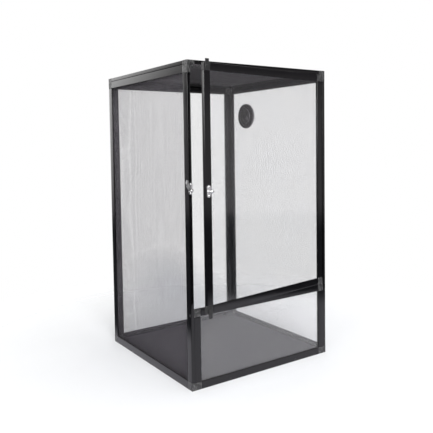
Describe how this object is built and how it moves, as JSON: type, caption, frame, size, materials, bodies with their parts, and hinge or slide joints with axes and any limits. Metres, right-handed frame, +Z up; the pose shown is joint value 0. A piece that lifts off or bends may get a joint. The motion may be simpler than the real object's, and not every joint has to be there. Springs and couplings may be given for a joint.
{
  "type": "mesh reptile cage",
  "caption": "Tall framed mesh cage for reptiles with a clear swing door, a clear lower front panel, a hook clasp and a turning cable port.",
  "frame": {"origin": "on the ground, under the middle of the cage's square footprint, on the floor board's underside", "axes": "+Z up, the door and the lower clear panel face -Y, the hinge side and the cable port are at +X"},
  "size_m": [0.461, 0.5172, 0.8],
  "materials": {
    "frame_aluminium": "satin",
    "corner_plastic": "satin",
    "wire_mesh": "matte",
    "bead_rubber": "matte",
    "clear_sheet": "gloss",
    "floor_plastic": "satin",
    "black_screw": "satin",
    "washer_nylon": "matte",
    "chrome": "polished",
    "port_plastic": "satin"
  },
  "bodies": {
    "cage": {"top_rail_front": "frame_aluminium", "top_rail_back": "frame_aluminium", "top_rail_left": "frame_aluminium", "top_rail_right": "frame_aluminium", "top_corners": "corner_plastic", "top_mesh": "wire_mesh", "top_beads": "bead_rubber", "left_stile_front": "frame_aluminium", "left_stile_back": "frame_aluminium", "left_rail_top": "frame_aluminium", "left_rail_bottom": "frame_aluminium", "left_corners": "corner_plastic", "left_mesh": "wire_mesh", "left_beads": "bead_rubber", "right_stile_front": "frame_aluminium", "right_stile_back": "frame_aluminium", "right_rail_top": "frame_aluminium", "right_rail_bottom": "frame_aluminium", "right_corners": "corner_plastic", "right_mesh": "wire_mesh", "right_beads": "bead_rubber", "back_stile_left": "frame_aluminium", "back_stile_right": "frame_aluminium", "back_rail_top": "frame_aluminium", "back_rail_bottom": "frame_aluminium", "back_corners": "corner_plastic", "back_mesh": "wire_mesh", "back_beads": "bead_rubber", "lower_stile_left": "frame_aluminium", "lower_stile_right": "frame_aluminium", "lower_rail_top": "frame_aluminium", "lower_rail_bottom": "frame_aluminium", "lower_corners": "corner_plastic", "lower_glazing": "clear_sheet", "lower_beads": "bead_rubber", "floor_board": "floor_plastic", "assembly_screws": "black_screw", "hinge_pins": "chrome", "hinge_washers": "washer_nylon", "hook_plate": "chrome", "hook_plate_screws": "chrome", "hook_rivet": "chrome", "port_body": "port_plastic", "port_clamp_ring": "port_plastic"},
    "door": {"door_stile_free": "frame_aluminium", "door_stile_hinge": "frame_aluminium", "door_rail_top": "frame_aluminium", "door_rail_bottom": "frame_aluminium", "door_free_corners": "corner_plastic", "door_hinge_corners": "corner_plastic", "door_glazing": "clear_sheet", "door_beads": "bead_rubber", "door_stop_tabs": "corner_plastic", "door_tab_screws": "black_screw", "stud_plate": "chrome", "stud_plate_screws": "chrome", "latch_stud": "chrome"},
    "hook": {"latch_hook": "chrome"},
    "port_cap": {"port_cap": "port_plastic"}
  },
  "joints": [
    {"name": "door_hinge", "type": "hinge", "parent": "cage", "child": "door", "pos_m": [0.21, -0.2208, 0.495], "axis": [0, 0, 1], "range_deg": [-6.9, 96.1]},
    {"name": "hook_swing", "type": "hinge", "parent": "cage", "child": "hook", "pos_m": [-0.2205, -0.2307, 0.49], "axis": [0, -1, 0], "range_deg": [-118, 150]},
    {"name": "port_cap_turn", "type": "hinge", "parent": "cage", "child": "port_cap", "pos_m": [0.22, 0.134, 0.692], "axis": [1, 0, 0], "range_deg": [0, 180]}
  ]
}
